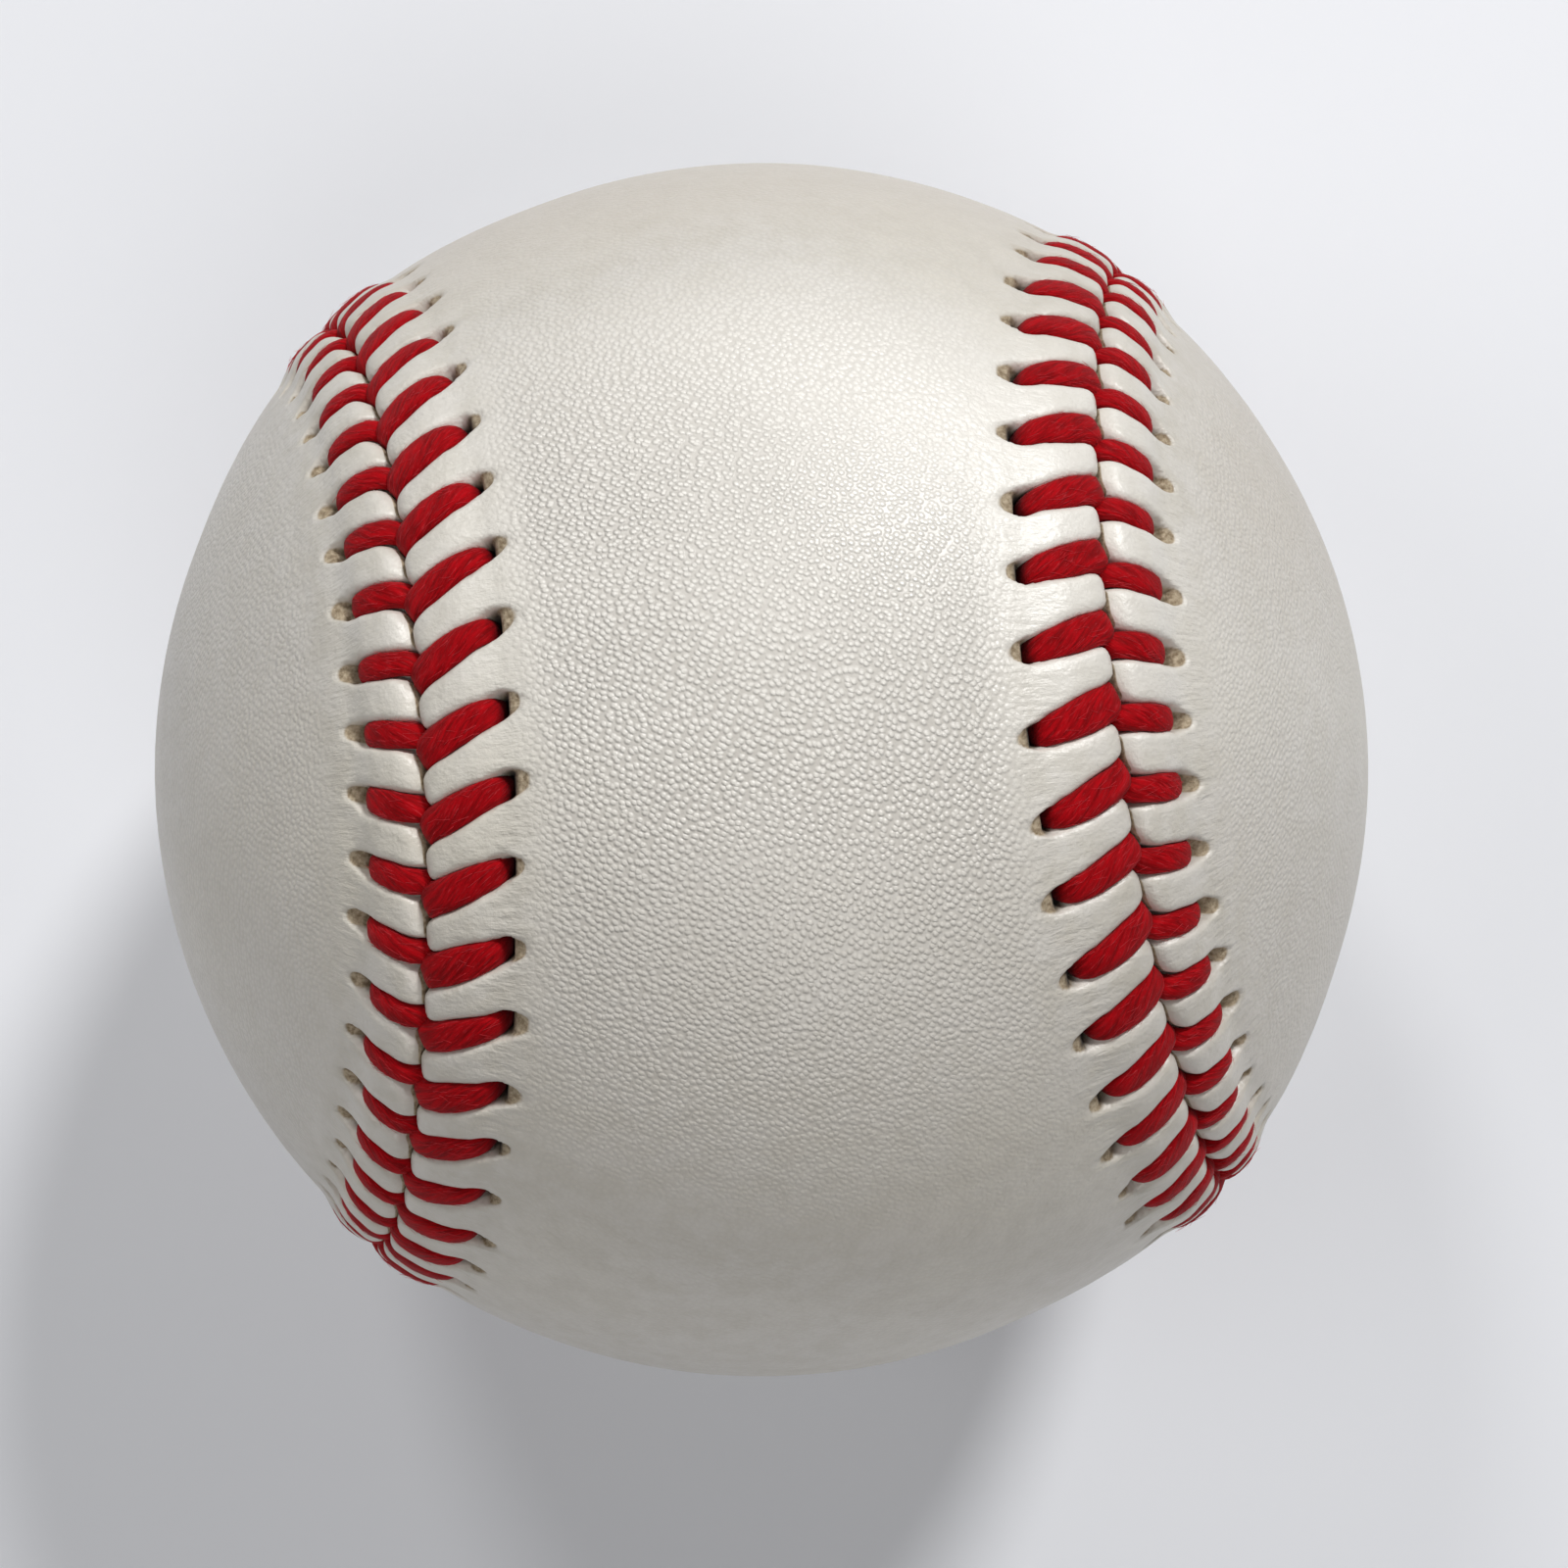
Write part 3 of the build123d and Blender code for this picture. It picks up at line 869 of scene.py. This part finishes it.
def leather_material():
    material, tree, shader = new_material("white_leather")
    where = object_place(tree)
    grain = attribute(tree, "grain")
    raw = ramp(tree, attribute(tree, "raw"), 0.25, 0.75)
    painted_shadow = attribute(tree, "painted_shadow")

    # Lozenges of the grain
    bend = noise_at(tree, where, 420.0, 2.0, 0.5, "Color")
    pebbles = []
    for name in ("waist_grain", "end_grain"):
        at = attribute(tree, name, "Vector")
        bent = add_node(
            tree, "ShaderNodeVectorMath", {"operation": "MULTIPLY_ADD"}, i0=bend, i1=(1.0,) * 3, i2=at
        )
        cells = add_node(
            tree,
            "ShaderNodeTexVoronoi",
            {"feature": "SMOOTH_F1", "voronoi_dimensions": "2D"},
            Vector=bent.outputs[0],
            Scale=1.0,
            Smoothness=0.15,
            Randomness=0.66,
        )
        pebbles.append(cells.outputs["Distance"])
    border = noise_at(tree, where, 160.0, 2.0)
    ragged = math_node(tree, "SUBTRACT", border, 0.5)
    share = math_node(tree, "ADD", attribute(tree, "waist_share"), ragged)
    share = ramp(tree, share, 0.42, 0.58)
    distance = add_node(
        tree, "ShaderNodeMix", {"data_type": "FLOAT"}, i0=share, i2=pebbles[1], i3=pebbles[0]
    )
    pebble = ramp(tree, distance.outputs[0], 0.60, 0.14)
    uneven = ramp(tree, noise_at(tree, where, 70.0, 2.0), 0.25, 0.62, 0.75, 1.0)
    strength = math_node(tree, "MULTIPLY_ADD", math_node(tree, "MULTIPLY", grain, uneven), 0.94, 0.06)
    fine = noise_at(tree, where, 5200.0, 2.0)
    relief = math_node(tree, "MULTIPLY_ADD", fine, 0.20, math_node(tree, "MULTIPLY", pebble, strength))
    wrinkle = noise_at(tree, where, 1500.0, 5.0, 0.62)
    plain = ramp(tree, grain, 0.0, 1.0, 1.05, 0.25)
    relief = math_node(tree, "MULTIPLY_ADD", wrinkle, plain, relief)
    seam_at = attribute(tree, "seam_at", "Vector")
    drawn = add_node(
        tree, "ShaderNodeMapping", Vector=seam_at, Rotation=(0.0, 0.0, 0.25), Scale=(2.6, 0.55, 1.0)
    )
    creases = noise_at(tree, drawn.outputs["Vector"], 1.0, 3.0, 0.6)
    crease = math_node(tree, "MULTIPLY", attribute(tree, "crease"), 1.5)
    relief = math_node(tree, "MULTIPLY_ADD", creases, crease, relief)
    bumped(tree, shader, relief, LEATHER_RELIEF)

    # Colour: warm white with faint yellow and pink patches, a painted highlight and painted shade over the
    # front, some dirt and painted shade in the grain's hollows, and a few specks
    patch = ramp(tree, noise_at(tree, where, 48.0, 3.0), 0.42, 0.68)
    hide = mix_colour(tree, patch, HIDE, HIDE_YELLOW)
    blush = ramp(tree, noise_at(tree, where, 31.0, 2.0), 0.52, 0.74, 0.0, 0.6)
    hide = mix_colour(tree, blush, hide, HIDE_PINK)
    mottle = noise_at(tree, where, 900.0, 4.0, 0.6)
    hide = mix_colour(tree, ramp(tree, mottle, 0.35, 0.75, 0.0, 0.5), hide, HIDE_MOTTLED)
    worn = ramp(tree, noise_at(tree, where, 520.0, 4.0, 0.6), 0.36, 0.68, 0.05, 0.80)
    worn = math_node(tree, "MULTIPLY", worn, math_node(tree, "SUBTRACT", 1.0, grain))
    hide = mix_colour(tree, worn, hide, HIDE_WORN)
    highlight_and_shade = attribute(tree, "highlight_and_shade")
    hide = mix_colour(tree, math_node(tree, "MULTIPLY", grain, 0.7), hide, HIDE_GRAINED)
    # Painted highlight above the front's middle, and painted shade towards the bottom, left, top and upper
    # right
    hide = mix_colour(tree, math_node(tree, "MULTIPLY", highlight_and_shade, 0.95), hide, PAINTED_HIGHLIGHT)
    hide = mix_colour(tree, math_node(tree, "MULTIPLY", highlight_and_shade, -0.90), hide, PAINTED_SHADE)
    # Darker in the hollows of the grain: some dirt, and painted shade
    hollow_dirt_and_shade = math_node(tree, "MULTIPLY", math_node(tree, "SUBTRACT", 1.0, pebble), strength)
    hide = mix_colour(tree, math_node(tree, "MULTIPLY", hollow_dirt_and_shade, 0.54), hide, HOLLOW_DIRT_AND_SHADE)
    specks = add_node(tree, "ShaderNodeTexVoronoi", Vector=where, Scale=135.0, Randomness=1.0)
    speck_pick = add_node(tree, "ShaderNodeSeparateColor", Color=specks.outputs["Color"]).outputs["Red"]
    speck = math_node(tree, "MULTIPLY", ramp(tree, specks.outputs["Distance"], 0.024, 0.012), 0.8)
    speck = math_node(tree, "MULTIPLY", speck, math_node(tree, "GREATER_THAN", speck_pick, 0.82))
    hide = mix_colour(tree, speck, hide, SPECK)

    # Raw suede in the needle holes and on the cut edge, with painted shadow in the holes and painted shade
    # on the edge
    fibres = ramp(tree, noise_at(tree, where, 3600.0, 3.0, 0.65), 0.28, 0.72)
    suede = mix_colour(tree, fibres, SUEDE_DARK, SUEDE_PALE)
    body = mix_colour(tree, raw, hide, suede)
    body = mix_colour(tree, painted_shadow, body, HOLE_SHADOW)
    tree.links.new(body, shader.inputs["Base Color"])

    gloss = ramp(tree, mottle, 0.2, 0.8, 0.35, 0.45)
    rough = math_node(tree, "MAXIMUM", gloss, math_node(tree, "MULTIPLY", raw, 0.95))
    tree.links.new(rough, shader.inputs["Roughness"])
    shader.inputs["Specular IOR Level"].default_value = LEATHER_GLOSS
    return material


# Colours of the thread, the depth of its relief in metres, and its gloss
RED_DEEP = colour(0.215, 0.0006, 0.0022)
RED_BRIGHT = colour(0.485, 0.0018, 0.0065)
RED_HAIR = colour(0.64, 0.060, 0.072)
RED_SHADED = colour(0.075, 0.001, 0.003)
RED_LOOSE = colour(0.58, 0.040, 0.050)
RED_SHEEN = colour(1.0, 0.40, 0.42)
THREAD_RELIEF = 0.00009
THREAD_GLOSS = 0.06


def thread_material():
    material, tree, shader = new_material("red_waxed_thread")
    fibre = attribute(tree, "fibre", "Vector")
    deep = attribute(tree, "deep")
    wide = add_node(tree, "ShaderNodeMapping", Vector=fibre, Scale=(1.2, 7.5, 1.0)).outputs["Vector"]
    strands = noise_at(tree, wide, 1.0, 4.0, 0.6)
    thin = add_node(tree, "ShaderNodeMapping", Vector=fibre, Scale=(2.8, 24.0, 1.0)).outputs["Vector"]
    hairs = noise_at(tree, thin, 1.0, 3.0, 0.7)
    red = mix_colour(tree, ramp(tree, strands, 0.30, 0.70), RED_DEEP, RED_BRIGHT)
    red = mix_colour(tree, ramp(tree, hairs, 0.55, 0.75, 0.0, 0.6), red, RED_HAIR)
    red = mix_colour(tree, math_node(tree, "MULTIPLY", deep, 0.80), red, RED_SHADED)
    loose = add_node(tree, "ShaderNodeSeparateXYZ", Vector=fibre).outputs["X"]
    loose = math_node(tree, "LESS_THAN", loose, FUZZ_MARK / 2)
    red = mix_colour(tree, loose, red, RED_LOOSE)
    tree.links.new(red, shader.inputs["Base Color"])
    bumped(tree, shader, math_node(tree, "MULTIPLY_ADD", hairs, 0.55, strands), THREAD_RELIEF)
    tree.links.new(ramp(tree, strands, 0.2, 0.8, 0.50, 0.72), shader.inputs["Roughness"])
    shader.inputs["Specular IOR Level"].default_value = THREAD_GLOSS
    shader.inputs["Sheen Weight"].default_value = 0.10
    shader.inputs["Sheen Roughness"].default_value = 0.45
    shader.inputs["Sheen Tint"].default_value = RED_SHEEN
    return material


# Cork, and the relief of cork and rubber in metres
CORK_DARK = colour(0.21, 0.105, 0.045)
CORK_PALE = colour(0.46, 0.28, 0.13)
CORK_GAPS = colour(0.06, 0.03, 0.015)
CORK_RELIEF = 0.0003
RUBBER_RELIEF = 0.00004


def cork_material():
    material, tree, shader = new_material("cork")
    where = object_place(tree)
    crumbs = add_node(tree, "ShaderNodeTexVoronoi", Vector=where, Scale=620.0)
    pick = add_node(tree, "ShaderNodeSeparateColor", Color=crumbs.outputs["Color"]).outputs["Red"]
    body = mix_colour(tree, pick, CORK_DARK, CORK_PALE)
    gaps = ramp(tree, crumbs.outputs["Distance"], 0.35, 0.75, 0.0, 0.8)
    body = mix_colour(tree, gaps, body, CORK_GAPS)
    tree.links.new(body, shader.inputs["Base Color"])
    rough = ramp(tree, noise_at(tree, where, 1500.0), 0.3, 0.7, 0.75, 0.95)
    tree.links.new(rough, shader.inputs["Roughness"])
    bumped(tree, shader, math_node(tree, "SUBTRACT", 1.0, crumbs.outputs["Distance"]), CORK_RELIEF)
    return material


def rubber_material(name, first, second):
    material, tree, shader = new_material(name)
    where = object_place(tree)
    cloud = noise_at(tree, where, 240.0, 4.0)
    dust = noise_at(tree, where, 4200.0, 2.0)
    body = mix_colour(tree, ramp(tree, cloud, 0.3, 0.7), first, second)
    tree.links.new(body, shader.inputs["Base Color"])
    tree.links.new(ramp(tree, cloud, 0.2, 0.8, 0.48, 0.68), shader.inputs["Roughness"])
    bumped(tree, shader, dust, RUBBER_RELIEF)
    return material


# Yarn: the directions it is wound in, and its relief as a share of the strands' spacing
YARN_TURNS = ((0.3, 0.2, 0.0), (1.2, 0.7, 0.5), (0.5, 1.9, 1.1))
YARN_RELIEF = 0.5
WAVE_SCALE = 0.314  # of a wave texture whose bands lie one metre apart


def yarn_material(name, first, second, spacing):
    """Yarn wound round and round: three layers of strands that cross, each over part of the ball."""
    material, tree, shader = new_material(name)
    where = object_place(tree)
    height = None
    for turn in YARN_TURNS:
        lay = add_node(tree, "ShaderNodeMapping", Vector=where, Rotation=turn).outputs["Vector"]
        wave = add_node(
            tree,
            "ShaderNodeTexWave",
            {"bands_direction": "Z"},
            Vector=lay,
            Scale=WAVE_SCALE / spacing,
            Distortion=1.5,
            Detail=2.0,
        )
        band = wave.outputs["Fac"]
        if height is None:
            height = band
        else:
            over = ramp(tree, noise_at(tree, lay, 70.0, 2.0), 0.47, 0.53)
            laid = add_node(tree, "ShaderNodeMix", {"data_type": "FLOAT"}, i0=over, i2=height, i3=band)
            height = laid.outputs[0]
    fuzz = noise_at(tree, where, 3600.0, 4.0, 0.7)
    shade = math_node(tree, "MULTIPLY_ADD", fuzz, 0.5, math_node(tree, "MULTIPLY", height, 0.5))
    body = mix_colour(tree, shade, first, second)
    tree.links.new(body, shader.inputs["Base Color"])
    tree.links.new(ramp(tree, fuzz, 0.2, 0.8, 0.80, 0.98), shader.inputs["Roughness"])
    bumped(tree, shader, math_node(tree, "MULTIPLY_ADD", fuzz, 0.3, height), YARN_RELIEF * spacing)
    return material


white_leather = leather_material()
red_thread = thread_material()
front_panel = leather_panel("front_leather", FRONT, white_leather)
back_panel = leather_panel("back_leather", BACK, white_leather)
thread_one = thread("thread_one", 0, red_thread)
thread_two = thread("thread_two", 1, red_thread)

for piece, node_name, slot_name in (
    (front_panel, "front_leather_panel", "white_leather"),
    (back_panel, "back_leather_panel", "white_leather"),
    (thread_one, "first_thread", "red_thread"),
    (thread_two, "second_thread", "red_thread"),
):
    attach(piece, "root")
    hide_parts(node_name)

# What the cover hides: core, rubber and windings keep their solids and get finished materials
black_rubber = rubber_material("black_rubber", colour(0.012, 0.012, 0.013), colour(0.030, 0.029, 0.028))
red_rubber = rubber_material("red_rubber", colour(0.240, 0.022, 0.016), colour(0.340, 0.040, 0.028))
grey_wool = yarn_material("grey_wool", colour(0.10, 0.10, 0.105), colour(0.36, 0.355, 0.35), 0.0011)
white_wool = yarn_material("white_wool", colour(0.42, 0.40, 0.36), colour(0.78, 0.76, 0.70), 0.0010)
white_cotton = yarn_material("white_cotton", colour(0.50, 0.49, 0.46), colour(0.82, 0.81, 0.78), 0.0005)
inside_materials = {
    "cork_core": cork_material(),
    "upper_rubber_cup": black_rubber,
    "lower_rubber_cup": black_rubber,
    "joint_washers": red_rubber,
    "red_rubber_layer": red_rubber,
    "inner_grey_winding": grey_wool,
    "middle_white_winding": white_wool,
    "outer_grey_winding": grey_wool,
    "finishing_winding": white_cotton,
}
for node_name, material in inside_materials.items():
    for slot in nodes[node_name].material_slots:
        slot.material = material

# Floor: far from the ball it looks pale to the camera, as the backdrop does, without lighting anything
FLOOR_REACH = 3.0
FLOOR_COLOUR = colour(0.89, 0.90, 0.935)
FLOOR_ROUGHNESS = 0.7
GLOW_COLOUR = colour(0.98, 0.985, 1.0)
FLOOR_GLOW = 0.72
GLOW_RUN = (0.25, 1.50)
floor_mesh = bpy.data.meshes.new("floor")
floor_corners = [(-1, -1), (1, -1), (1, 1), (-1, 1)]
floor_mesh.from_pydata(
    [(x * FLOOR_REACH, y * FLOOR_REACH, -BALL_RADIUS * MM) for x, y in floor_corners], [], [(0, 1, 2, 3)]
)
floor = bpy.data.objects.new("floor", floor_mesh)
scene.collection.objects.link(floor)
floor_material, floor_tree, floor_shader = new_material("pale_floor")
floor_shader.inputs["Base Color"].default_value = FLOOR_COLOUR
floor_shader.inputs["Roughness"].default_value = FLOOR_ROUGHNESS
floor_at = object_place(floor_tree)
floor_far = add_node(floor_tree, "ShaderNodeVectorMath", {"operation": "LENGTH"}, i0=floor_at)
floor_glow = ramp(floor_tree, floor_far.outputs["Value"], *GLOW_RUN, 0.0, FLOOR_GLOW)
floor_seen = add_node(floor_tree, "ShaderNodeLightPath").outputs["Is Camera Ray"]
floor_glow = math_node(floor_tree, "MULTIPLY", floor_seen, floor_glow)
floor_shader.inputs["Emission Color"].default_value = GLOW_COLOUR
floor_tree.links.new(floor_glow, floor_shader.inputs["Emission Strength"])
floor_mesh.materials.append(floor_material)

# Light: soft lamps, each with its direction from the ball, size and power
LAMP_DISTANCE = 0.75
LAMPS = {
    "lamp_right": ((0.38, 0.56, 0.74), 0.14, 3.30),
    "lamp_top": ((-0.24, 0.65, 0.72), 0.14, 1.00),
    "lamp_left": ((-0.60, 0.00, 0.80), 0.35, 0.62),
    "lamp_low": ((0.14, -0.55, 0.83), 0.35, 1.15),
}
for lamp_name, (direction, size, power) in LAMPS.items():
    lamp_data = bpy.data.lights.new(lamp_name, "AREA")
    lamp_data.shape = "DISK"
    lamp_data.size = size
    lamp_data.energy = power
    lamp = bpy.data.objects.new(lamp_name, lamp_data)
    towards = Vector(direction).normalized()
    lamp.location = towards * LAMP_DISTANCE
    lamp.rotation_euler = towards.to_track_quat("Z", "Y").to_euler()
    scene.collection.objects.link(lamp)

# Sky: a faint light on everything, and pale where the camera sees it
SKY = colour(0.97, 0.98, 1.0)
WORLD_LIGHT = 0.10
BACKDROP = 0.80
world = bpy.data.worlds.new("studio")
world.use_nodes = True
backdrop = world.node_tree.nodes["Background"]
backdrop.inputs["Color"].default_value = SKY
sky_seen = add_node(world.node_tree, "ShaderNodeLightPath").outputs["Is Camera Ray"]
sky = math_node(world.node_tree, "MULTIPLY_ADD", sky_seen, BACKDROP - WORLD_LIGHT, WORLD_LIGHT)
world.node_tree.links.new(sky, backdrop.inputs["Strength"])
scene.world = world

# Camera: over the front panel's waist, turned a little, with the ball at its place in the picture
IMAGE_SIZE = 1600
CAMERA_RADII = 4.2
CAMERA_DISTANCE = CAMERA_RADII * BALL_RADIUS
CAMERA_TURN = Vector((-0.1200, 0.0126, 0.0800))
BALL_CENTRE_PIXEL = (777.0, 785.3)
BALL_RADIUS_PIXELS = 619.5
SENSOR = 36.0
focal_pixels = BALL_RADIUS_PIXELS * sqrt(CAMERA_RADII**2 - 1)
camera_data = bpy.data.cameras.new("camera")
camera_data.sensor_width = SENSOR
camera_data.lens = SENSOR * focal_pixels / IMAGE_SIZE
camera_data.shift_x = (IMAGE_SIZE / 2 - BALL_CENTRE_PIXEL[0]) / IMAGE_SIZE
camera_data.shift_y = -(IMAGE_SIZE / 2 - BALL_CENTRE_PIXEL[1]) / IMAGE_SIZE
camera_data.clip_start = 0.01
camera = bpy.data.objects.new("camera", camera_data)
axes = Matrix.Rotation(CAMERA_TURN.length, 3, CAMERA_TURN.normalized()).transposed()
camera.matrix_world = Matrix.Translation(axes @ Vector((0, 0, CAMERA_DISTANCE * MM))) @ axes.to_4x4()
scene.collection.objects.link(camera)
scene.camera = camera
scene.view_settings.view_transform = "Standard"
